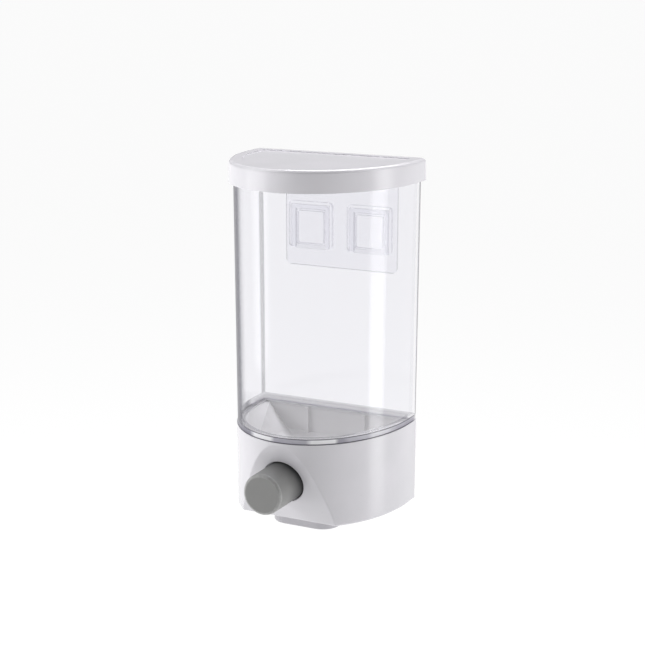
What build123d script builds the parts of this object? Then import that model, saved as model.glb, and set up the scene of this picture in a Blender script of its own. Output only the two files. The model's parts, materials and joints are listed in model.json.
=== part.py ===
from build123d import *
import math
import os

# Wall-hung cereal dispenser with a press button.
# Millimetres. +X is to the user's right, +Y points into the wall and +Z is up.
# Heights are measured up from a datum just above the outlet's rim, and each piece is
# moved down by mount_height when it is written, so that the frame's origin is the centre
# of the back of the wall sheet, where the wall is.

# Overall size
overall_width = 125.0
overall_depth = 115.0
lid_top = 240.0
outlet_rim = -2.4          # so the whole thing stands 242.4 high
mount_height = 191.3

# D-shaped plan: a flat back, short straight sides and a half ellipse in front
side_end = 15.4            # where the straight sides end, in front of the wall
body_back = 3.6            # back of the hopper, in front of the wall
body_half_width = 59.45    # at the lid's lower edge
body_semi_depth = 78.4     # half ellipse's depth at the lid's lower edge
body_draft = 0.007         # the body narrows by this much per millimetre downwards
back_corner = 2.5

# Hopper
hopper_bottom = 64.2
hopper_top = 236.9
hopper_wall = 2.2
flange_height = 4.0
flange_inset = 4.6
gasket_inset = 2.6
snap_width = 8.0
snap_y = 11.0
snap_drop = 8.0
snap_thickness = 1.5
snap_nose = 1.2
snap_nose_low = 0.8
snap_nose_high = 3.0
snap_gap = 0.3

# Lid
lid_bottom = 225.75
lid_half_width = overall_width / 2
lid_overhang = lid_half_width - body_half_width
lid_back = 1.2
lid_corner = 4.0
lid_draft = 0.38
lid_wall = 1.8
lid_recess = 0.5
lid_rim = 8.5
lid_underside = 237.0
plug_bottom = 227.0
plug_gap = 2.3
plug_wall = 1.6
lid_fillet = 2.4
lid_seal_bottom = 229.0
lid_seal_height = 3.5
lid_seal_gap = 0.3
lid_seal_fin = 1.1

# Wall sheet, hooks and the hopper's sockets for them
sheet_width = 83.0
sheet_height = 60.0
sheet_thickness = 0.6
sheet_corner = 4.0
hook_x = 21.75
hook_width = 27.8
hook_height = 30.0
hook_bottom = 173.5
hook_front = 3.4
hook_head = 1.2
neck_width = 22.2
neck_bottom = 176.0
neck_top = 200.4
hook_hollow = 19.8
hook_corner = 3.5
hook_round = 0.4
neck_corner = 2.0
hollow_corner = 1.2
socket_width = 32.4
socket_bottom = 174.25
socket_top = 205.7
socket_wall = 2.0
socket_corner = 2.5
socket_back = 0.9
lip_depth = 1.2
lip_width = 2.8

# Base housing with its sloping front facet
base_bottom = 8.5
base_step = 0.5            # the base stands this much proud of the hopper
base_wall = 2.2
facet_top = 63.2
facet_slope = 0.279        # how far the facet falls back per millimetre downwards
facet_blend = 2.0
base_round = 1.2
ledge_height = 1.6
ledge_inset = 4.2
boss_places = ((53.4, 14.0), (47.8, 48.0))
boss_radius = 3.5
boss_top = 30.0
overshoot = 20.0           # cutting shapes reach this far past the body

# Pan-head screws
screw_radius = 1.25
screw_head_radius = 2.4
screw_head_height = 1.5
cross_length = 2.6
cross_width = 0.6
cross_depth = 0.5
bottom_screw_length = 12.0
rail_screw_length = 7.5
yoke_screw_length = 3.0

# Funnel: mouth, floor and throat
funnel_top = 63.0
funnel_wall = 1.8
ledge_top = funnel_top - funnel_wall
funnel_back = 7.8
mouth_front = 82.0
mouth_back_half = 51.5
mouth_front_half = 19.5
floor_half = 37.0
floor_back_z = 45.5
floor_front_z = 53.0
floor_front_half = 27.0
throat_half = 18.0
throat_front = 51.5
throat_back = 30.0
throat_top = 39.5
throat_bottom = 22.0
throat_seal_wall = 1.0
throat_seal_reach = 0.4
throat_seal_height = 4.4
rib_x = 21.5
rib_width = 2.4
rib_depth = 2.0

# Shutter under the throat, and its rails
plate_z = 19.4
plate_thickness = 2.0
plate_corner = 2.0
plate_half = 31.0
plate_front = 74.5
plate_back = 28.0
window_half = 20.0
window_front = 71.0
window_back = 53.5
rail_inner = 29.9
rail_outer = 34.0
rail_front = 67.0
rail_back = 8.0
rail_top = 24.4
rail_screw_ys = (16.0, 60.0)
slide_gap = 0.2
side_gap = 0.3

# Button, yoke, spring and their guide
button_z = 36.2
button_travel = 20.0
cap_radius = 13.5
cap_root_radius = 13.75
cap_wall = 1.8
cap_round = 2.2
facet_hole_radius = 14.65
bushing_inner = 14.05
bushing_outer = 16.4
bushing_back = 77.5
yoke_thickness = 2.0
yoke_half = 12.0
yoke_bottom = 16.9
yoke_top = 44.0
yoke_bore = 8.8
yoke_sleeve = 11.6
yoke_sleeve_length = 7.5
yoke_screw_x = 8.0
yoke_recess_radius = 2.7   # the screw heads sit in recesses, clear of the chute
seat_radius = 8.0
seat_thickness = 1.7
post_radius = 3.5
post_front = 88.0
post_chamfer = 0.8
spring_radius = 5.4
spring_wire = 0.6
spring_turns = 11

# Bottom plate, chute and outlet collar
plate_bottom = 8.9
plate_depth = 2.0
outlet_half = 23.6
outlet_front = 63.0
outlet_back = 26.5
outlet_corner = 12.5
outlet_wall = 2.0
outlet_round = 0.8
outlet_flange = 1.3
outlet_flange_height = 1.5
chute_top = 16.6
chute_wall = 1.2
chute_top_y = 40.8
chute_top_half = 20.5
chute_top_depth = 24.6
chute_low_y = 44.75
chute_low_half = 21.6
chute_low_depth = 32.5
chute_corner = 4.0


def body_shape(height):
    """Half width and semi depth of the body's D at a height."""
    narrowing = body_draft * (lid_bottom - height)
    return body_half_width - narrowing, body_semi_depth - narrowing


def d_face(half_width, semi_depth, back, corner, height):
    """D-shaped face with its straight back at y = -back."""
    centre = -side_end
    outline = Wire([
        Line((-half_width, centre), (-half_width, -back)),
        Line((-half_width, -back), (half_width, -back)),
        Line((half_width, -back), (half_width, centre)),
        EllipticalCenterArc((0, centre), half_width, semi_depth, start_angle=180, arc_size=180),
    ])
    face = make_face(outline)
    corners = face.vertices().filter_by_position(Axis.Y, -back - 0.01, -back + 0.01)
    return Pos(0, 0, height) * fillet(corners, corner)


def body_section(inset, height):
    """The body's D at a height, moved inwards all round by inset."""
    half_width, semi_depth = body_shape(height)
    corner = max(back_corner - inset, 0.6)
    return d_face(half_width - inset, semi_depth - inset, body_back + inset, corner, height)


def body_block(inset, low, high):
    """Solid between two heights with the body's D plan and draft."""
    return loft([body_section(inset, low), body_section(inset, high)])


def behind_facet(inset):
    """Everything behind the base's sloping front facet, moved back by inset."""
    front = side_end + body_shape(facet_top)[1] + base_step
    back_off = inset * math.hypot(1, facet_slope)
    low = -overshoot
    high = hopper_bottom + overshoot
    outline = Polyline(
        (-front + back_off + facet_slope * (facet_top - low), low),
        (-front + back_off + facet_slope * (facet_top - high), high),
        (overshoot, high),
        (overshoot, low),
        close=True,
    )
    return extrude(Plane.YZ * make_face(outline), overall_width, both=True)


def base_block(inset, low, high):
    """Solid with the base's outline, facet included, moved inwards by inset."""
    return body_block(inset - base_step, low, high) & behind_facet(inset)


def box_between(x0, x1, y0, y1, z0, z1):
    """Box from its two corners; y is given as distance in front of the wall."""
    block = Box(x1 - x0, y1 - y0, z1 - z0, align=(Align.MIN, Align.MAX, Align.MIN))
    return Pos(x0, -y0, z0) * block


def upright(width, height, radius, depth):
    """Rounded rectangle standing in the XZ plane and extruded forwards."""
    return extrude(Plane.XZ * RectangleRounded(width, height, radius), depth)


def level_tube(half, front, back, corner, wall, low, high):
    """Upright tube with a rounded rectangular plan."""
    depth = front - back
    outer = RectangleRounded(2 * half, depth, corner)
    inner = RectangleRounded(2 * (half - wall), depth - 2 * wall, corner - wall)
    return Pos(0, -(front + back) / 2, low) * extrude(outer - inner, high - low)


def pin(x, y, low, length, radius=screw_radius):
    """Upright cylinder that stands at a height."""
    return Pos(x, y, low) * Cylinder(radius, length, align=(Align.CENTER, Align.CENTER, Align.MIN))


def along_button(shape):
    """Moves a shape turned about the Y axis onto the button's axis."""
    return Pos(0, 0, button_z) * shape


def ring_on_button(outer, inner, front, back):
    """Ring on the button's axis between two distances from the wall."""
    flat = Circle(outer) - Circle(inner) if inner else Circle(outer)
    return along_button(Pos(0, -back, 0) * extrude(Plane.XZ * flat, front - back))


def screw(length):
    """Pan-head screw that points up, with its head below z = 0 and a cross recess."""
    head = pin(0, 0, -screw_head_height, screw_head_height, screw_head_radius)
    head = fillet(head.edges().group_by(Axis.Z)[0], screw_head_height / 2)
    shank = pin(0, 0, 0, length)
    slot = Pos(0, 0, -screw_head_height) * Box(cross_length, cross_width, 2 * cross_depth)
    return head + shank - slot - Rot(0, 0, 90) * slot


def screws(places, length):
    """Group of screws, one at each (x, y, z) of the underside of its head's plate."""
    return Compound(children=[Pos(*place) * screw(length) for place in places])


def mirrored(places):
    """The same places on both sides of the middle plane."""
    return [(side * x, y) for x, y in places for side in (-1, 1)]


# ---------------------------------------------------------------- wall side

def adhesive_sheet():
    sheet = upright(sheet_width, sheet_height, sheet_corner, sheet_thickness)
    return Pos(0, 0, mount_height) * sheet


def hook(side):
    """Square hook: a wide head on a narrower hollow neck."""
    neck_height = neck_top - neck_bottom
    hollow_height = neck_height - (neck_width - hook_hollow)
    neck = upright(neck_width, neck_height, neck_corner, hook_front - sheet_thickness)
    neck -= upright(hook_hollow, hollow_height, hollow_corner, hook_front)
    neck = Pos(0, -sheet_thickness, (neck_top + neck_bottom) / 2) * neck
    head = upright(hook_width, hook_height, hook_corner, hook_head)
    head = fillet(head.edges().group_by(Axis.Y)[0], hook_round)
    head = Pos(0, -(hook_front - hook_head), hook_bottom + hook_height / 2) * head
    hollow = upright(hook_hollow, hollow_height, hollow_corner, hook_front)
    head -= Pos(0, -sheet_thickness, (neck_top + neck_bottom) / 2) * hollow
    return Pos(side * hook_x, 0, 0) * (neck + head)


# ---------------------------------------------------------------- hopper and lid

def socket(side):
    """Upside-down U on the hopper's back, with a lip that goes behind the hook's head."""
    middle = (socket_top + socket_bottom) / 2
    height = socket_top - socket_bottom
    block = upright(socket_width, height, socket_corner, body_back - socket_back)
    block = Pos(0, -socket_back, middle) * block
    half = socket_width / 2 - socket_wall
    lip_front = socket_back + lip_depth
    low = socket_bottom - 1
    high = socket_top - socket_wall
    channel = box_between(-half, half, lip_front, body_back + 0.01, low, high)
    half -= lip_width
    slot = box_between(-half, half, socket_back - 1, lip_front + 0.01, low, high - lip_width)
    return Pos(side * hook_x, 0, 0) * (block - channel - slot)


def hopper():
    shell = body_block(0, hopper_bottom, hopper_top)
    shell -= body_block(hopper_wall, hopper_bottom + flange_height, hopper_top + 1)
    shell -= body_block(flange_inset, hopper_bottom - 1, hopper_bottom + flange_height + 0.5)
    for side in (-1, 1):
        shell += socket(side)
        shell += snap_tab(side, 0)
    return shell


def snap_tab(side, gap):
    """Tab under the hopper's flange with a nose that clicks into the base's wall."""
    outside = body_shape(hopper_bottom)[0] + base_step - base_wall - slide_gap
    inside = outside - snap_thickness
    low = hopper_bottom - snap_drop
    y0 = snap_y - snap_width / 2 - gap
    y1 = snap_y + snap_width / 2 + gap
    blade = box_between(inside - gap, outside + gap, y0, y1, low - gap, hopper_bottom + gap)
    nose_low = low + snap_nose_low - gap
    nose_high = low + snap_nose_high + gap
    nose = box_between(outside, outside + snap_nose + gap, y0, y1, nose_low, nose_high)
    tab = blade + nose
    return tab if side > 0 else mirror(tab, Plane.YZ)


def hopper_gasket():
    high = hopper_bottom
    low = funnel_top
    ring = body_block(gasket_inset, low, high) - body_block(flange_inset, low - 1, high + 1)
    for side in (-1, 1):
        ring -= snap_tab(side, snap_gap)
    return ring


def lid_section(inset, height):
    draft = lid_draft * (height - lid_bottom) / (lid_top - lid_bottom)
    half_width = lid_half_width - draft - inset
    semi_depth = body_semi_depth + lid_overhang - draft - inset
    corner = max(lid_corner - inset, 1.0)
    return d_face(half_width, semi_depth, lid_back + draft + inset, corner, height)


def lid_block(inset, low, high):
    return loft([lid_section(inset, low), lid_section(inset, high)])


def lid_cover():
    cover = lid_block(0, lid_bottom, lid_top)
    cover = fillet(cover.edges().group_by(Axis.Z)[-1], lid_fillet)
    cover -= lid_block(lid_rim, lid_top - lid_recess, lid_top + 1)
    cover -= lid_block(lid_wall, lid_bottom - 1, lid_underside)
    plug = body_block(hopper_wall + plug_gap, plug_bottom, lid_underside)
    plug -= body_block(hopper_wall + plug_gap + plug_wall, plug_bottom - 1, lid_underside)
    return cover + plug


def lid_seal():
    """Ring with two soft fins, one above the other."""
    low = lid_seal_bottom
    high = low + lid_seal_height
    ring = body_block(hopper_wall + lid_seal_gap, low, high)
    ring -= body_block(hopper_wall + plug_gap, low - 1, high + 1)
    groove = body_block(hopper_wall, low + lid_seal_fin, high - lid_seal_fin)
    groove -= body_block(hopper_wall + plug_gap / 2, low, high)
    return ring - groove


# ---------------------------------------------------------------- base

def base_housing():
    shell = base_block(0, base_bottom, hopper_bottom)
    facet_normal = Vector(0, -1, -facet_slope).normalized()
    flats = shell.faces().filter_by(GeomType.PLANE)
    facet = [face for face in flats if face.normal_at().dot(facet_normal) > 0.999][0]
    arch = [edge for edge in facet.edges() if edge.center().Z > base_bottom + 1]
    shell = fillet(arch, facet_blend)
    shell = fillet(shell.edges().group_by(Axis.Z)[0], base_round)
    shell -= base_block(base_wall, base_bottom - 1, hopper_bottom + 1)
    ledge = base_block(base_wall - 0.2, ledge_top - ledge_height, ledge_top)
    ledge -= base_block(ledge_inset, ledge_top - ledge_height - 1, ledge_top + 1)
    ledge -= box_between(-overall_width, overall_width, 0, side_end + 4, 0, hopper_bottom)
    shell += ledge
    low = plate_bottom + plate_depth
    space = base_block(base_wall - 0.4, low, boss_top)
    for x, y in mirrored(boss_places):
        shell += pin(x, -y, low, boss_top - low, boss_radius) & space
        shell -= pin(x, -y, low - 1, bottom_screw_length + 1)
    shell -= ring_on_button(facet_hole_radius, 0, overall_depth, bushing_back)
    for side in (-1, 1):
        shell -= snap_tab(side, snap_gap)
    return shell


def quad(points):
    """Planar four-sided face through the given corners."""
    return Face(Wire.make_polygon([Vector(*p) for p in points], close=True))


def funnel_quads(grow, drop):
    """The four outlines of the funnel's inside, top to bottom, grown sideways and lowered."""
    back = -funnel_back + grow
    front = -throat_front - grow

    def four(back_half, back_y, back_z, front_half, front_y, front_z):
        a, b = back_half + grow, front_half + grow
        return quad([
            (-a, back_y, back_z - drop), (a, back_y, back_z - drop),
            (b, front_y, front_z - drop), (-b, front_y, front_z - drop),
        ])

    high = funnel_top + drop
    low = throat_bottom + drop
    half = throat_half
    behind = -throat_back + grow
    mouth = four(mouth_back_half, back, high, mouth_front_half, -mouth_front - grow, high)
    floor = four(floor_half, back, floor_back_z, floor_front_half, front, floor_front_z)
    throat = four(half, behind, throat_top, half, front, throat_top)
    end = four(half, behind, low, half, front, low)
    return mouth, floor, throat, end


def funnel_solid(grow, drop):
    mouth, floor, throat, end = funnel_quads(grow, drop)
    solid = loft([mouth, floor], ruled=True)
    solid += loft([floor, throat], ruled=True)
    solid += loft([throat, end], ruled=True)
    return solid


def funnel():
    rim = base_block(base_wall + slide_gap, funnel_top - funnel_wall, funnel_top)
    body = rim + funnel_solid(funnel_wall, funnel_wall - 0.2)
    body -= funnel_solid(0, 0)
    mouth = funnel_quads(0, 0)[0]
    body -= extrude(mouth, 1.0, dir=(0, 0, 1))
    half = rib_width / 2
    rib_front = funnel_back + rib_depth
    rib = box_between(-half, half, funnel_back, rib_front, floor_back_z - 1, funnel_top)
    for side in (-1, 1):
        body += Pos(side * rib_x, 0, 0) * rib
        body -= snap_tab(side, snap_gap)
    return body


def throat_seal():
    width = 2 * (throat_half + funnel_wall)
    depth = throat_front - throat_back + 2 * funnel_wall
    wall = throat_seal_wall
    lip = RectangleRounded(width + 2 * wall, depth + 2 * wall, wall) - Rectangle(width, depth)
    middle = -(throat_front + throat_back) / 2
    return Pos(0, middle, throat_bottom - throat_seal_reach) * extrude(lip, throat_seal_height)


def guide_rail(side):
    low = plate_bottom + plate_depth
    rail = box_between(rail_inner, rail_outer, rail_back, rail_front, low, rail_top)
    groove_depth = plate_half + side_gap
    rail -= box_between(
        rail_inner - 1, groove_depth, rail_back - 1, rail_front + 1,
        plate_z - slide_gap, plate_z + plate_thickness + slide_gap,
    )
    for y in rail_screw_ys:
        rail -= pin((rail_inner + rail_outer) / 2, -y, low - 1, rail_screw_length)
    return rail if side > 0 else mirror(rail, Plane.YZ)


def bottom_plate():
    plate = base_block(base_wall + slide_gap, plate_bottom, plate_bottom + plate_depth)
    gap = slide_gap
    opening = RectangleRounded(
        2 * (outlet_half + gap), outlet_front - outlet_back + 2 * gap, outlet_corner + gap,
    )
    middle = -(outlet_front + outlet_back) / 2
    plate -= Pos(0, middle, plate_bottom - 1) * extrude(opening, plate_depth + 2)
    for x, y, z in bottom_screw_places() + rail_screw_places():
        plate -= pin(x, y, z - 1, plate_depth + 2)
    return plate


def bottom_screw_places():
    return [(x, -y, plate_bottom) for x, y in mirrored(boss_places)]


def rail_screw_places():
    middle = (rail_inner + rail_outer) / 2
    return [(x, -y, plate_bottom) for x, y in mirrored([(middle, y) for y in rail_screw_ys])]


def outlet_collar():
    low = plate_bottom + plate_depth
    high = low + outlet_flange_height
    half, front, back, corner = outlet_half, outlet_front, outlet_back, outlet_corner
    tube = level_tube(half, front, back, corner, outlet_wall, outlet_rim, high)
    tube = fillet(tube.edges().group_by(Axis.Z)[0], outlet_round)
    grow = outlet_flange
    wall = grow + outlet_wall / 2
    flange = level_tube(half + grow, front + grow, back - grow, corner + grow, wall, low, high)
    return tube + flange


def drop_chute():
    """Sleeve that leads what falls past the shutter into the outlet."""
    low = plate_bottom + plate_depth + outlet_flange_height

    def plan(half, depth, y, height, grow):
        shape = RectangleRounded(2 * (half + grow), depth + 2 * grow, chute_corner)
        return Pos(0, -y, height) * shape

    def sleeve(grow):
        low_plan = plan(chute_low_half, chute_low_depth, chute_low_y, low, grow)
        top_plan = plan(chute_top_half, chute_top_depth, chute_top_y, chute_top, grow)
        return loft([low_plan, top_plan])

    return sleeve(chute_wall) - sleeve(0)


# ---------------------------------------------------------------- button and shutter

def button_cap():
    back = plate_front + yoke_thickness
    length = overall_depth - back
    profile = Polyline(
        (0, 0), (cap_root_radius, 0), (cap_radius, -length), (0, -length), close=True,
    )
    cap = revolve(make_face(profile), Axis.Y)
    cap = fillet(cap.edges().group_by(Axis.Y)[0], cap_round)
    inside = extrude(Plane.XZ * Circle(cap_radius - cap_wall), length - cap_wall)
    return along_button(Pos(0, -back, 0) * (cap - inside))


def plunger_yoke():
    back = plate_front
    front = plate_front + yoke_thickness
    plate = box_between(-yoke_half, yoke_half, back, front, yoke_bottom, yoke_top)
    foot = box_between(-yoke_half, yoke_half, window_front, front, yoke_bottom, plate_z)
    end = front + yoke_sleeve_length
    yoke = plate + foot + ring_on_button(yoke_sleeve, 0, end, back)
    yoke -= ring_on_button(yoke_bore, 0, end + 1, back - 1)
    for x, y, z in yoke_screw_places():
        yoke -= pin(x, y, yoke_bottom - 1, screw_head_height + 1, yoke_recess_radius)
        yoke -= pin(x, y, z - 1, yoke_screw_length)
    return yoke


def yoke_screw_places():
    middle = (plate_front + window_front) / 2
    head_top = yoke_bottom + screw_head_height
    return [(side * yoke_screw_x, -middle, head_top) for side in (-1, 1)]


def shutter_plate():
    top = plate_z + plate_thickness
    plate = box_between(-plate_half, plate_half, plate_back, plate_front, plate_z, top)
    plate = fillet(plate.edges().filter_by(Axis.Z), plate_corner)
    outline = RectangleRounded(2 * window_half, window_front - window_back, plate_corner)
    middle = -(window_front + window_back) / 2
    plate -= Pos(0, middle, plate_z - 1) * extrude(outline, plate_thickness + 2)
    for x, y, z in yoke_screw_places():
        plate -= pin(x, y, plate_z - 1, plate_thickness + 2)
    return plate


def button_bushing():
    ring = ring_on_button(bushing_outer, bushing_inner, overall_depth, bushing_back)
    return ring & base_block(base_wall, plate_bottom, hopper_bottom)


def spring_post():
    wall = throat_front + funnel_wall
    seat = ring_on_button(seat_radius, 0, wall + seat_thickness, wall)
    post = ring_on_button(post_radius, 0, post_front, wall)
    post = chamfer(post.edges().group_by(Axis.Y)[0], post_chamfer)
    return seat + post


def return_spring():
    back = throat_front + funnel_wall + seat_thickness + spring_wire
    front = overall_depth - cap_wall - spring_wire
    length = front - back
    coil = Helix(length / spring_turns, length, spring_radius, direction=(0, -1, 0))
    section = Plane(origin=coil @ 0, z_dir=coil % 0) * Circle(spring_wire)
    spring = sweep(section, path=coil, is_frenet=True)
    return along_button(Pos(0, -back, 0) * spring)


nodes = {
    "adhesive_sheet": adhesive_sheet,
    "hook_left": lambda: hook(-1),
    "hook_right": lambda: hook(1),
    "hopper": hopper,
    "hopper_gasket": hopper_gasket,
    "lid_cover": lid_cover,
    "lid_seal": lid_seal,
    "base_housing": base_housing,
    "funnel": funnel,
    "throat_seal": throat_seal,
    "guide_rail_left": lambda: guide_rail(-1),
    "guide_rail_right": lambda: guide_rail(1),
    "bottom_plate": bottom_plate,
    "outlet_collar": outlet_collar,
    "drop_chute": drop_chute,
    "bottom_screws": lambda: screws(bottom_screw_places(), bottom_screw_length),
    "rail_screws": lambda: screws(rail_screw_places(), rail_screw_length),
    "button_cap": button_cap,
    "plunger_yoke": plunger_yoke,
    "shutter_plate": shutter_plate,
    "yoke_screws": lambda: screws(yoke_screw_places(), yoke_screw_length),
    "button_bushing": button_bushing,
    "spring_post": spring_post,
    "return_spring": return_spring,
}

os.makedirs("parts", exist_ok=True)
for name, make in nodes.items():
    piece = Pos(0, 0, -mount_height) * make()
    export_step(piece, f"parts/{name}.step")
    box = piece.bounding_box()
    print(f"{name:18s} volume {piece.volume:10.1f}  size {box.size}")
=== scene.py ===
# %% [markdown]
# # A wall-hung cereal dispenser
#
# A clear D-shaped hopper hangs on a wall sheet by two square hooks. A white lid closes
# it, and a white base with a round grey button lets the cereal out below.
#
# The imported model is loaded first. Its pieces already have their true shape and place,
# so most of this lesson is about finishes: what makes one moulded plastic look unlike
# another, and how thin clear walls catch the light. The return spring is modelled here
# from nothing. A real one shortens as the button goes in; this one keeps its length.

# %% Load the imported model
import bpy
import json
import math
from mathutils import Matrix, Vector


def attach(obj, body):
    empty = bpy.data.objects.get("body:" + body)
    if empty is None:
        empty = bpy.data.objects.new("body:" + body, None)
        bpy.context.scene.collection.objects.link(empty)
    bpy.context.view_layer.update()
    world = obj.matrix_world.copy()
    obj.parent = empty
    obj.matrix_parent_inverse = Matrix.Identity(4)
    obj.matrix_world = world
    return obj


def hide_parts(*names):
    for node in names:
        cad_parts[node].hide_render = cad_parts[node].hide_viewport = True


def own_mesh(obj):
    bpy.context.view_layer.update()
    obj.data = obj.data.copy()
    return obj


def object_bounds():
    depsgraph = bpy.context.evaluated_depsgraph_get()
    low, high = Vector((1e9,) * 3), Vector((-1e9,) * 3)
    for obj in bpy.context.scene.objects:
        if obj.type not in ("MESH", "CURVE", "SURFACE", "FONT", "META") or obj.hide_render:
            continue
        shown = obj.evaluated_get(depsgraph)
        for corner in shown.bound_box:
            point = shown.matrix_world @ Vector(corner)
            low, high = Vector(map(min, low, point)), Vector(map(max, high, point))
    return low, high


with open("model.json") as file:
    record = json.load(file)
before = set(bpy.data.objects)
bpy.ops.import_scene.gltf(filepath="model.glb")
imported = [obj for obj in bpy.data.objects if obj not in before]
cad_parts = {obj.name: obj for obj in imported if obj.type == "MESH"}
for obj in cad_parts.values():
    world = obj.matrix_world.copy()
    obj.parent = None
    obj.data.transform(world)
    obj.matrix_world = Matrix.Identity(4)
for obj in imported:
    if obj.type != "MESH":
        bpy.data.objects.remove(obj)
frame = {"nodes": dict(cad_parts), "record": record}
cad_low, cad_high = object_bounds()
nodes = frame["nodes"]
MM = 0.001
PLASTIC_IOR = 1.49
CLEAR_BLACK = (0.0, 0.0, 0.0, 1.0)
WHITE_LIGHT = (1.0, 1.0, 1.0, 1.0)
print("the packed model spans", [round(side / MM, 1) for side in cad_high - cad_low], "mm")

# %% [markdown]
# ## Shader maths as plain sums
#
# A shader is a chain of nodes, and a sum made of Math nodes is hard to read when each is
# added by hand. A small class wraps one socket and gives it +, -, * and **, so that
# `0.3 + 0.1 * grain` adds its two Math nodes by itself. The reflected forms make
# `1 - mask` work as well, where the plain number comes first. Between two masks, | takes
# the larger of the two, so the result covers what either of them covers.


# %% A socket that can be added, subtracted and multiplied
class Signal:
    def __init__(self, finish, socket):
        self.finish = finish
        self.socket = socket

    def sum(self, operation, first, second):
        return self.finish.node("ShaderNodeMath", {"operation": operation}, {0: first, 1: second})

    def __add__(self, other):
        return self.sum("ADD", self, other)

    def __radd__(self, other):
        return self.sum("ADD", other, self)

    def __sub__(self, other):
        return self.sum("SUBTRACT", self, other)

    def __rsub__(self, other):
        return self.sum("SUBTRACT", other, self)

    def __mul__(self, other):
        return self.sum("MULTIPLY", self, other)

    def __rmul__(self, other):
        return self.sum("MULTIPLY", other, self)

    def __pow__(self, power):
        return self.sum("POWER", self, power)

    def __or__(self, other):
        return self.sum("MAXIMUM", self, other)


# %% [markdown]
# Every other node comes from one method. It takes the node's type, then its settings,
# which have to be set before the sockets because some of them change which sockets
# there are, and then the values or links of its sockets. A few short methods on top of
# it give names to what this object's finishes keep asking for.


# %% A material under construction
class Finish:
    def __init__(self, name):
        self.material = bpy.data.materials.new(name)
        self.material.use_nodes = True
        self.tree = self.material.node_tree
        self.tree.nodes.clear()

    def node(self, kind, settings=None, inputs=None, output=0):
        made = self.tree.nodes.new(kind)
        for name, value in (settings or {}).items():
            if name == "stops":
                self.set_stops(made.color_ramp.elements, value)
            else:
                setattr(made, name, value)
        for name, value in (inputs or {}).items():
            if isinstance(value, Signal):
                self.tree.links.new(value.socket, made.inputs[name])
            else:
                made.inputs[name].default_value = value
        return Signal(self, made.outputs[output]) if made.outputs else None

    def set_stops(self, stops, wanted):
        for place, color in wanted[1:-1]:
            stops.new(place).color = color
        stops[0].position, stops[0].color = wanted[0]
        stops[-1].position, stops[-1].color = wanted[-1]

    def place(self):
        return self.node("ShaderNodeTexCoord", output="Object")

    def axes(self):
        split = self.node("ShaderNodeSeparateXYZ", {}, {"Vector": self.place()}).socket.node
        return [Signal(self, split.outputs[axis]) for axis in "XYZ"]

    def noise(self, size, detail=2.0, roughness=0.5):
        inputs = {"Vector": self.place(), "Scale": 1 / size, "Detail": detail, "Roughness": roughness}
        return self.node("ShaderNodeTexNoise", {}, inputs)

    def step(self, value, low, high):
        inputs = {"Value": value, "From Min": low, "From Max": high}
        return self.node("ShaderNodeMapRange", {"interpolation_type": "SMOOTHSTEP"}, inputs)

    def mix(self, factor, first, second):
        inputs = {"Factor": factor, 6: first, 7: second}
        return self.node("ShaderNodeMix", {"data_type": "RGBA"}, inputs, output=2)

    def bump(self, height, depth, under=None):
        inputs = {"Height": height, "Distance": depth}
        if under:
            inputs["Normal"] = under
        return self.node("ShaderNodeBump", {}, inputs)

    def principled(self, **inputs):
        sockets = {name.replace("_", " "): value for name, value in inputs.items()}
        return self.node("ShaderNodeBsdfPrincipled", {}, sockets)

    def layers(self, factor, under, over):
        return self.node("ShaderNodeMixShader", {}, {0: factor, 1: under, 2: over})

    def done(self, surface):
        self.node("ShaderNodeOutputMaterial", {}, {"Surface": surface})
        print("finish", self.material.name, "has", len(self.tree.nodes), "nodes")
        return self.material


# %% [markdown]
# ## Moulded plastic
#
# Nearly everything here is injection moulded, and what tells one moulding from another
# is small: the fine texture etched into the mould, slow waves where thick and thin
# walls cool at different rates, and a tone that drifts a little from part to part. So
# one recipe serves all of them: a slow noise mixes two close tones, a middling one
# gives the wave and a very fine one the texture. The fine grain also breaks up the
# gloss, since a rougher spot scatters more light.
#
# The funnel is a flat grey, darker than the white mouldings, which is painted shade for the
# deep inside of the base, and it gives off a little light, which is painted light. Lit by the
# lamps alone it came out too dark, with a deep shadow in its corner. The price is that it
# would glow faintly in a dark room.


# %% One recipe for every opaque moulding
DRIFT_SIZE, WAVE_SIZE, SPECK_SIZE = 45 * MM, 22 * MM, 0.9 * MM
WAVE_DEPTH = 0.06 * MM
SPECK_STRENGTH, SPECK_TONE = 0.12, 0.6


def moulded(name, tone, shade, roughness, grain_size, grain_depth, metallic=0.0, glow=0.0):
    finish = Finish(name)
    drift = finish.step(finish.noise(DRIFT_SIZE, 3.0), 0.35, 0.65)
    grain = finish.noise(grain_size, 3.0, 0.6)
    specks = finish.step(finish.noise(SPECK_SIZE, 1.0), 0.70, 0.78)
    color = finish.mix(drift, (*shade, 1.0), (*tone, 1.0))
    speck_color = (*[SPECK_TONE * part for part in shade], 1.0)
    color = finish.mix(SPECK_STRENGTH * specks, color, speck_color)
    waves = finish.bump(finish.noise(WAVE_SIZE, 1.0), WAVE_DEPTH)
    return finish.done(finish.principled(
        Base_Color=color,
        Roughness=roughness - 0.04 + 0.09 * grain,
        Normal=finish.bump(grain, grain_depth, waves),
        Metallic=metallic,
        IOR=PLASTIC_IOR,
        Emission_Color=(*tone, 1.0),
        Emission_Strength=glow,
    ))


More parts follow.
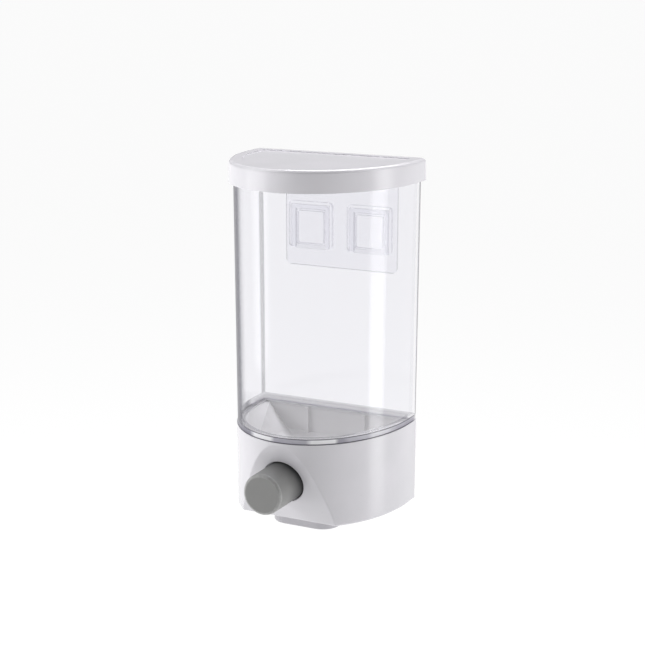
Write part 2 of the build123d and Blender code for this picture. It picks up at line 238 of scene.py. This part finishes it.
# %% The plain mouldings, the seals and the metal
white = moulded(
    "white_moulding", (0.75, 0.735, 0.775), (0.72, 0.71, 0.745), 0.22, 0.5 * MM, 0.006 * MM,
)
# The funnel's grey tone is painted shade and its glow is painted light.
funnel_painted_shade_glow = moulded(
    "funnel_painted_shade_and_glow", (0.54, 0.535, 0.54), (0.51, 0.505, 0.51), 0.40, 0.7 * MM, 0.012 * MM,
    glow=0.31,
)
pale_grey = moulded(
    "pale_grey_moulding", (0.53, 0.52, 0.55), (0.50, 0.49, 0.52), 0.33, 0.5 * MM, 0.01 * MM,
)
silicone = moulded(
    "milky_silicone", (0.75, 0.75, 0.76), (0.70, 0.70, 0.71), 0.55, 0.4 * MM, 0.01 * MM,
)
steel = moulded(
    "drawn_steel", (0.55, 0.55, 0.57), (0.44, 0.44, 0.46), 0.28, 0.2 * MM, 0.004 * MM,
    metallic=1.0,
)

# %% [markdown]
# ## The grey button
#
# The button's rounded front edge carries a painted highlight, paler than its face, and the
# skirt darkens towards the hole with painted shade. The lights alone gave too little of both,
# so they are painted in. Both follow the button's own shape, so they are worked out from the
# distance to its axis and from how far forward a point is.

# %% Grey button finish
BUTTON_AXIS_Z = -155.1 * MM
BUTTON_FACE_Y = -115.0 * MM
BUTTON_RADIUS = 13.5 * MM
GREY = (0.262, 0.262, 0.258, 1.0)
# Painted highlight for the rounded front edge.
EDGE_HIGHLIGHT_PAINT = (0.62, 0.62, 0.618, 1.0)
DEEP_GREY = (0.06, 0.06, 0.06, 1.0)


def button_finish():
    finish = Finish("grey_button")
    x, y, z = finish.axes()
    up = z - BUTTON_AXIS_Z
    radius = (x * x + up * up) ** 0.5
    edge_highlight = finish.step(radius, BUTTON_RADIUS - 2.3 * MM, BUTTON_RADIUS - 1.3 * MM)
    edge_highlight = edge_highlight * finish.step(y, BUTTON_FACE_Y + 2.8 * MM, BUTTON_FACE_Y + 1.5 * MM)
    # Painted shade: the skirt darkens towards the hole.
    hole_shade = finish.step(y, BUTTON_FACE_Y + 9 * MM, BUTTON_FACE_Y + 27 * MM)
    grain = finish.noise(0.35 * MM, 3.0, 0.6)
    drift = finish.noise(9 * MM, 3.0)
    # Patches that break up the painted edge highlight.
    highlight_patches = finish.step(finish.noise(2.5 * MM, 4.0), 0.3, 0.8)
    color = finish.mix(0.92 * hole_shade, GREY, DEEP_GREY)
    color = finish.mix(edge_highlight * (0.22 + 0.3 * highlight_patches), color, EDGE_HIGHLIGHT_PAINT)
    color = finish.mix(0.10 * drift, color, DEEP_GREY)
    return finish.done(finish.principled(
        Base_Color=color,
        Roughness=0.46 + 0.1 * grain - 0.10 * edge_highlight,
        Normal=finish.bump(grain, 0.012 * MM, finish.bump(drift, 0.05 * MM)),
        IOR=PLASTIC_IOR,
    ))


grey = button_finish()

# %% [markdown]
# ## Clear plastic
#
# Real refraction through six nested walls takes many light paths and leaves grain, and
# a wall this thin hardly bends light anyway. What shows it is there is something else:
# a reflection that grows as the wall turns away, and a dark line where we look along
# the wall instead of through it. So the wall is a see-through shader under a thin
# mirror, and at its outline a solid lilac-grey takes over, which paints in that dark
# line as painted shade.

# %% The three layers of a clear wall
LILAC_DARK = (0.075, 0.072, 0.10, 1.0)
HAZE = (0.80, 0.80, 0.84, 1.0)
EDGE_DARK = (0.10, 0.10, 0.11, 1.0)
EDGE_GLOW = (0.56, 0.56, 0.59, 1.0)
RIM_GLOW = (0.74, 0.74, 0.77, 1.0)
HOOK_TINT = (0.985, 0.985, 0.99, 1.0)
SHEET_TINT = (0.985, 0.985, 0.995, 1.0)
HOPPER_TINT = (0.978, 0.977, 0.986, 1.0)
SHEET_LINE = (0.40, 0.395, 0.44, 1.0)
HOOK_X = 21.75 * MM
RIM_START, RIM_FULL = 11.2 * MM, 11.5 * MM
RIM_TOP_START, RIM_TOP_FULL = 9.4 * MM, 9.7 * MM


def outline_mask(finish, low, high):
    facing = finish.node("ShaderNodeLayerWeight", {}, {"Blend": 0.5}, output="Facing")
    return facing, finish.step(facing, low, high)


def side_faces(finish):
    normal = finish.node("ShaderNodeTexCoord", output="Normal")
    split = finish.node("ShaderNodeSeparateXYZ", {}, {"Vector": normal}, output="Y")
    return finish.step(split * split, 0.5, 0.1)


def clear_wall(finish, facing, outline, body, color, tint, glow=CLEAR_BLACK):
    scratches = finish.noise(1.2 * MM, 4.0, 0.7)
    waves = finish.bump(finish.noise(30 * MM, 1.0), 0.08 * MM)
    see_through = finish.node("ShaderNodeBsdfTransparent", {}, {"Color": tint})
    mirror = finish.principled(
        Base_Color=(0.97, 0.97, 0.98, 1.0), Metallic=1.0, Roughness=0.03 + 0.05 * scratches, Normal=waves,
    )
    # The solid layer carries the painted dark outline and any painted glow.
    solid = finish.principled(
        Base_Color=color, Roughness=0.2 + 0.1 * scratches, IOR=PLASTIC_IOR, Normal=waves,
        Emission_Color=glow, Emission_Strength=1.0,
    )
    shine = (0.015 + 0.45 * facing ** 4.0) * (1 - outline)
    return finish.layers(body, finish.layers(shine, see_through, mirror), solid)


# %% [markdown]
# The sheet is a plain use of it, with a hairline round its edge for the cut rim. The
# hooks are not. Behind the hopper's walls and the sockets' lips, a line of sight meets so
# many clear faces that a fully clear hook comes out as a dark grey band. So the hook's rim
# and its side faces are mostly solid, and give off a pale light of their own.


# %% Hooks and wall sheet
def hook_finish():
    finish = Finish("clear_hooks")
    facing, outline = outline_mask(finish, 0.70, 0.95)
    edge = side_faces(finish)
    x, y, z = finish.axes()
    across = (x * x) ** 0.5 - HOOK_X
    beside = finish.step(across * across, RIM_START ** 2, RIM_FULL ** 2)
    rim = beside | finish.step(z, RIM_TOP_START, RIM_TOP_FULL)
    solid = rim | edge
    color = finish.mix(solid, HAZE, EDGE_DARK)
    glow = finish.mix(edge, finish.mix(rim, CLEAR_BLACK, RIM_GLOW), EDGE_GLOW)
    body = 0.02 + 0.05 * outline + 0.85 * solid
    return finish.done(clear_wall(finish, facing, outline, body, color, HOOK_TINT, glow))


def sheet_finish():
    finish = Finish("clear_sheet")
    facing, outline = outline_mask(finish, 0.80, 0.97)
    x, y, z = finish.axes()
    hairline = finish.step(x * x, (40.9 * MM) ** 2, (41.3 * MM) ** 2)
    hairline = hairline | finish.step(z * z, (29.4 * MM) ** 2, (29.8 * MM) ** 2)
    color = finish.mix(hairline | outline, HAZE, SHEET_LINE)
    body = 0.02 + 0.24 * hairline + 0.3 * outline
    return finish.done(clear_wall(finish, facing, outline, body, color, SHEET_TINT))


clear_hooks = hook_finish()
clear_sheet = sheet_finish()

# %% [markdown]
# ## The hopper
#
# The hopper's foot is a thick flange. From the side it shows as a band a few
# millimetres high between two dark lines, and along it the light is gathered in some
# places and lost in others, because a thick curved bar works as a lens. These walls don't
# bend light, so the glints and the two dark lines are painted, the glints as a ramp from left
# to right. They can't move with the view as real ones do, and the flange's left side is
# painted paler towards the back than its right one. The back of the flange is painted a pale
# grey, and a faint line down each back corner stands in for the way a thick corner traps
# light. All of these are masks on where a point is. The sockets' edges are solid and give off
# a pale light of their own, for the same reason as the hooks' rims.

# %% The hopper's masks and tones
FLANGE_LOW, FLANGE_TOP = -127.1 * MM, -123.1 * MM
HALF_WIDTH, SEMI_DEPTH, ELLIPSE_CENTRE = 58.3 * MM, 77.3 * MM, 15.4 * MM
DRAFT_PER_METRE = 0.2
OUTER_PLAN = (0.945, 0.975)
BACK_PANEL_Y = (-8.9 * MM, -8.4 * MM)
LEFT_SIDE_X, LEFT_SIDE_Y = (0.0, -20 * MM), (-30 * MM, -20 * MM)
SOCKETS_Y = (-3.75 * MM, -3.6 * MM)
CORNER_X_SQUARED, CORNER_Y = ((56.6 * MM) ** 2, (57.6 * MM) ** 2), (-7.5 * MM, -6.0 * MM)
GLINT_REACH = 60 * MM
LINE_DARK = (0.10, 0.098, 0.125, 1.0)
# Painted pale grey for the back of the flange, in place of the glints.
PAINTED_BACK_GREY = (0.56, 0.555, 0.57, 1.0)
GLINTS = [
    (0.00, (0.20, 0.195, 0.24, 1.0)), (0.30, (0.20, 0.195, 0.24, 1.0)), (0.34, (0.85, 0.85, 0.88, 1.0)),
    (0.45, (0.88, 0.88, 0.90, 1.0)), (0.48, (0.38, 0.37, 0.43, 1.0)), (0.65, (0.42, 0.41, 0.47, 1.0)),
    (0.68, (0.98, 0.98, 1.00, 1.0)), (0.78, (0.98, 0.98, 1.00, 1.0)), (0.795, (0.30, 0.29, 0.34, 1.0)),
    (0.815, (0.30, 0.29, 0.34, 1.0)), (0.84, (0.50, 0.49, 0.55, 1.0)), (0.90, (0.52, 0.51, 0.57, 1.0)),
    (0.915, (0.70, 0.69, 0.74, 1.0)), (0.955, (0.68, 0.67, 0.72, 1.0)), (0.975, (0.40, 0.39, 0.45, 1.0)),
    (1.00, (0.36, 0.35, 0.41, 1.0)),
]


def hopper_finish():
    finish = Finish("clear_hopper")
    x, y, z = finish.axes()
    at_back = finish.step(y, *BACK_PANEL_Y)
    at_left_side = finish.step(y, *LEFT_SIDE_Y) * finish.step(x, *LEFT_SIDE_X)
    behind = at_back | at_left_side
    at_sockets = finish.step(y, *SOCKETS_Y)
    at_corner = finish.step(x * x, *CORNER_X_SQUARED) * finish.step(y, *CORNER_Y)
    ahead = y + ELLIPSE_CENTRE
    plan = x * x * HALF_WIDTH ** -2 + ahead * ahead * SEMI_DEPTH ** -2
    plan = plan * (1 - DRAFT_PER_METRE * (z - FLANGE_TOP))
    outside = finish.step(plan, *OUTER_PLAN)
    socket_edge = at_sockets * side_faces(finish)
    flange = finish.step(z, FLANGE_TOP + 0.1 * MM, FLANGE_TOP - 0.1 * MM)
    low_line = finish.step(z, FLANGE_LOW + 0.9 * MM, FLANGE_LOW + 0.4 * MM)
    top_line = finish.step(z, FLANGE_TOP - 0.9 * MM, FLANGE_TOP - 0.5 * MM) * flange
    facing, outline = outline_mask(finish, 0.66, 0.82)
    outline = outline * (0.25 + 0.75 * outside)
    # Painted dark outline, with a painted line down each back corner.
    outline = (outline | 0.5 * at_corner * outside) * (1 - 0.93 * at_sockets) * (1 - flange)
    # The sockets' edges give off a pale painted light.
    glow = finish.mix(socket_edge, CLEAR_BLACK, EDGE_GLOW)
    sides = {"Value": x, "From Min": -GLINT_REACH, "From Max": GLINT_REACH}
    across = finish.node("ShaderNodeMapRange", {}, sides)
    glints = finish.node("ShaderNodeValToRGB", {"stops": GLINTS}, {"Fac": across})
    # The flange's painted glints, between its two painted dark lines.
    front = finish.mix(low_line | top_line, glints, LINE_DARK)
    back = finish.mix(top_line, PAINTED_BACK_GREY, LILAC_DARK)
    color = finish.mix(flange, finish.mix(3.0 * outline, HAZE, LILAC_DARK), finish.mix(behind, front, back))
    color = finish.mix(socket_edge, color, EDGE_DARK)
    flange_body = flange * (0.84 - 0.52 * behind) * (0.12 + 0.88 * (outside | behind))
    body = 0.012 + 0.90 * outline + flange_body + 0.8 * socket_edge
    return finish.done(clear_wall(finish, facing, outline | flange, body, color, HOPPER_TINT, glow))


clear_hopper = hopper_finish()

# %% [markdown]
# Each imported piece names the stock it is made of, so the finishes are handed out from
# that list. The hopper and the funnel differ from their stock and have finishes of their
# own.

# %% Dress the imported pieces
stock = {
    "clear_plastic": clear_hooks, "clear_film": clear_sheet, "white_plastic": white, "grey_plastic": grey,
    "pale_grey_plastic": pale_grey, "silicone": silicone, "steel": steel,
}
special = {"hopper": clear_hopper, "funnel": funnel_painted_shade_glow}
for part in frame["record"]["subparts"]:
    name = part["node"]
    nodes[name].data.materials.clear()
    nodes[name].data.materials.append(special.get(name, stock[part["material_slot"]]))
print(len(nodes), "pieces dressed")

# %% [markdown]
# ## The return spring
#
# A coil spring is one round wire wound on a cylinder, so it is made the same way: a
# small circle is pushed out to the coil's radius, and a Screw modifier sweeps it round
# the button's axis while it moves along. A curve with a thick bevel would do it as well,
# but the Screw keeps every turn the same. The sweep leaves the wire open at both ends,
# and those two holes are filled.

# %% Wind the spring
SPRING_BACK_Y = -55.6 * MM
SPRING_FRONT_Y = -112.6 * MM
SPRING_RADIUS = 5.4 * MM
WIRE_RADIUS = 0.6 * MM
TURNS = 11

bpy.ops.object.select_all(action="DESELECT")
bpy.ops.mesh.primitive_circle_add(vertices=14, radius=WIRE_RADIUS, location=(0, SPRING_BACK_Y, BUTTON_AXIS_Z))
spring = bpy.context.object
spring.name = "coil_spring"
bpy.ops.object.mode_set(mode="EDIT")
bpy.ops.mesh.select_all(action="SELECT")
bpy.ops.transform.translate(value=(SPRING_RADIUS, 0, 0))
bpy.ops.object.mode_set(mode="OBJECT")
winding = spring.modifiers.new("winding", "SCREW")
winding.axis = "Y"
winding.angle = TURNS * math.tau
winding.screw_offset = SPRING_FRONT_Y - SPRING_BACK_Y
winding.steps = winding.render_steps = TURNS * 28
bpy.ops.object.modifier_apply(modifier="winding")

# %% Close the wire's ends and smooth it
bpy.ops.object.mode_set(mode="EDIT")
bpy.ops.mesh.select_all(action="SELECT")
bpy.ops.mesh.fill_holes(sides=14)
bpy.ops.mesh.select_all(action="SELECT")
bpy.ops.mesh.normals_make_consistent(inside=False)
bpy.ops.object.mode_set(mode="OBJECT")
bpy.ops.object.shade_smooth_by_angle(angle=math.radians(40))
bpy.ops.object.transform_apply(location=True, rotation=True, scale=True)
spring.data.materials.append(steel)
print("the spring has", len(spring.data.polygons), "faces")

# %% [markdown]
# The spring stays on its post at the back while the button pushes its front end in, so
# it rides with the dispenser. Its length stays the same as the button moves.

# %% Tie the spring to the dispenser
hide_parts("return_spring")
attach(spring, "dispenser")
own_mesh(spring)

# %% [markdown]
# ## Floor, light and camera
#
# The dispenser hangs in the air, so the floor is far below it and only has to be a
# clean pale field. It gives off a little light of its own, as a light table does, which
# fills the shadows from below. A tall softbox on the left gives the long highlight on
# the hopper and the lid, a narrow one at the right edge gives the second highlight, and
# one above and behind lights the lid's top and the inside of the base. A small key on the
# left deepens the modelling and is kept out of the reflections. The world lights the
# dispenser only faintly, but is plain white where it is seen directly, so that a low view
# doesn't show a dark sky over the floor.

# %% Floor
FLOOR_DROP = 0.5
bpy.ops.object.select_all(action="DESELECT")
bpy.ops.mesh.primitive_plane_add(size=300.0, location=(0, 0, cad_low.z - FLOOR_DROP))
floor = bpy.context.object
floor.name = "floor"
light_table = Finish("light_table")
mottle = light_table.step(light_table.noise(0.8, 2.0), 0.2, 0.8)
floor.data.materials.append(light_table.done(light_table.principled(
    Base_Color=light_table.mix(mottle, (0.10, 0.10, 0.10, 1.0), (0.11, 0.11, 0.11, 1.0)),
    Roughness=1.0,
    Emission_Color=WHITE_LIGHT,
    Emission_Strength=0.95,
)))

# %% World and softboxes
ROOM_LIGHT = 0.06
world = bpy.data.worlds.new("studio")
bpy.context.scene.world = world
world.use_nodes = True
walls = world.node_tree.nodes
for part in list(walls):
    walls.remove(part)
dim, bright = walls.new("ShaderNodeBackground"), walls.new("ShaderNodeBackground")
dim.inputs["Strength"].default_value = ROOM_LIGHT
bright.inputs["Strength"].default_value = 1.0
seen, room = walls.new("ShaderNodeMixShader"), walls.new("ShaderNodeOutputWorld")
for shade in (dim, bright):
    shade.inputs["Color"].default_value = WHITE_LIGHT
wire = world.node_tree.links.new
wire(walls.new("ShaderNodeLightPath").outputs["Is Camera Ray"], seen.inputs[0])
wire(dim.outputs[0], seen.inputs[1])
wire(bright.outputs[0], seen.inputs[2])
wire(seen.outputs[0], room.inputs["Surface"])


def towards(azimuth, elevation):
    """Direction from the dispenser; azimuth 0 is in front of it and 90 on its right."""
    around, up = math.radians(azimuth), math.radians(elevation)
    return Vector((math.sin(around) * math.cos(up), -math.cos(around) * math.cos(up), math.sin(up)))


def softbox(name, azimuth, elevation, distance, width, height, watts):
    lamp = bpy.data.lights.new(name, "AREA")
    lamp.shape = "RECTANGLE"
    lamp.size, lamp.size_y = width, height
    lamp.energy = watts
    holder = bpy.data.objects.new(name, lamp)
    bpy.context.scene.collection.objects.link(holder)
    away = towards(azimuth, elevation)
    holder.location = (cad_low + cad_high) / 2 + away * distance
    holder.rotation_euler = away.to_track_quat("Z", "Y").to_euler()
    return holder


softbox("left_softbox", -60, 24, 1.5, 1.1, 2.5, 17)
softbox("left_key", -62, 28, 1.5, 0.3, 0.3, 5).visible_glossy = False
softbox("right_softbox", 110, 8, 1.3, 0.4, 1.6, 8)
softbox("top_softbox", 180, 60, 1.5, 1.3, 1.0, 28)

# %% Camera
VIEW_AZIMUTH, VIEW_ELEVATION, VIEW_DISTANCE = 26.58, 13.93, 1.0122
target = Vector((0, -40.0 * MM, -69.0 * MM))
view = bpy.data.cameras.new("view")
view.lens = 85.7
view.shift_x, view.shift_y = 0.0120, 0.0228
camera = bpy.data.objects.new("camera", view)
bpy.context.scene.collection.objects.link(camera)
back = towards(VIEW_AZIMUTH, VIEW_ELEVATION)
camera.location = target + back * VIEW_DISTANCE
camera.rotation_euler = back.to_track_quat("Z", "Y").to_euler()
bpy.context.scene.camera = camera
bpy.context.scene.view_settings.view_transform = "Standard"
